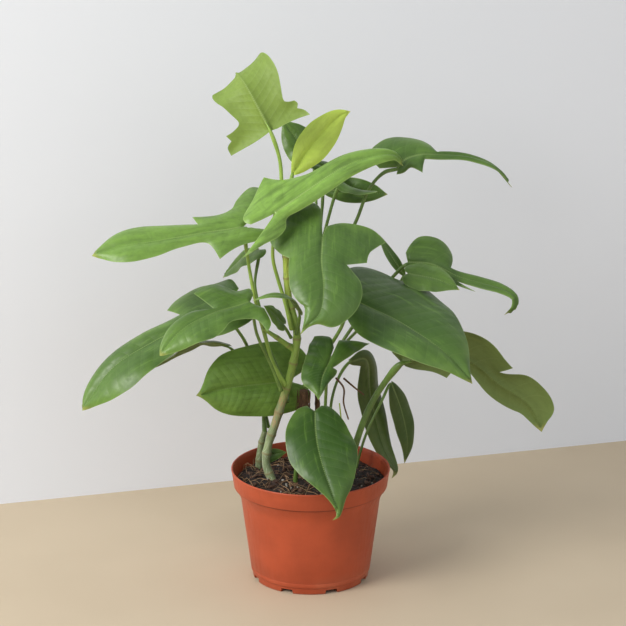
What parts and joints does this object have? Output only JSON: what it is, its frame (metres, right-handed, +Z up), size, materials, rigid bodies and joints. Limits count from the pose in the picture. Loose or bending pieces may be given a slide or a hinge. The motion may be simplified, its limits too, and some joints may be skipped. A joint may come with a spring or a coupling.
{
  "type": "potted philodendron",
  "caption": "Potted fiddle-leaf philodendron: lobed glossy leaves on long stalks and upright stems, rooted in potting mix in a tapered moulded nursery pot with a wide rim.",
  "frame": {"origin": "centre of the pot's flat underside", "axes": "+Z up along the pot, -Y towards the side that most leaves face, +X to the right seen from that side"},
  "size_m": [0.4805, 0.214, 0.54],
  "materials": {
    "pot": "satin orange-brown moulded plastic with a faint grain",
    "soil": "dark brown damp potting mix of bark, coir and grit",
    "stem": "pale grey-green fleshy stem with rings and a dry sheath",
    "bark": "brown fibrous old stem covered in short fine roots",
    "root": "thin brown dry aerial root",
    "petiole": "smooth fleshy leaf stalk, green to yellow-green",
    "blade": "glossy dark green leaf with lighter veins",
    "freshBlade": "semi-gloss bright green new leaf with pale veins",
    "youngBlade": "soft yellow-green unfolding leaf",
    "oldBlade": "matt olive-green leaf, paler on its underside"
  },
  "bodies": {
    "root": {"pot": "pot", "soil": "soil", "main_stem": "stem", "second_stem": "stem", "old_stem": "bark", "back_stem": "stem", "root_straight": "root", "root_curved": "root", "crown_petiole": "petiole", "crown_blade": "blade", "young_petiole": "petiole", "young_blade": "youngBlade", "fresh_petiole": "petiole", "fresh_blade": "freshBlade", "back_petiole": "petiole", "back_blade": "blade", "back_low_petiole": "petiole", "back_low_blade": "blade", "rear_petiole": "petiole", "rear_blade": "blade", "centre_petiole": "petiole", "centre_blade": "blade", "upper_left_petiole": "petiole", "upper_left_blade": "blade", "small_back_petiole": "petiole", "small_back_blade": "blade", "mid_left_petiole": "petiole", "mid_left_blade": "blade", "low_left_petiole": "petiole", "low_left_blade": "blade", "heart_left_petiole": "petiole", "heart_left_blade": "blade", "sliver_left_petiole": "petiole", "sliver_left_blade": "oldBlade", "hooked_petiole": "petiole", "hooked_blade": "blade", "olive_petiole": "petiole", "olive_blade": "blade", "upper_right_petiole": "petiole", "upper_right_blade": "blade", "big_right_petiole": "petiole", "big_right_blade": "blade", "right_behind_petiole": "petiole", "right_behind_blade": "blade", "right_petiole": "petiole", "right_blade": "blade", "narrow_right_petiole": "petiole", "narrow_right_blade": "blade", "front_petiole": "petiole", "front_blade": "blade", "middle_petiole": "petiole", "middle_blade": "blade", "hanging_petiole": "petiole", "hanging_blade": "oldBlade", "hanging_thin_petiole": "petiole", "hanging_thin_blade": "oldBlade", "low_right_petiole": "petiole", "low_right_blade": "oldBlade", "low_scrap_petiole": "petiole", "low_scrap_blade": "blade"}
  },
  "joints": []
}
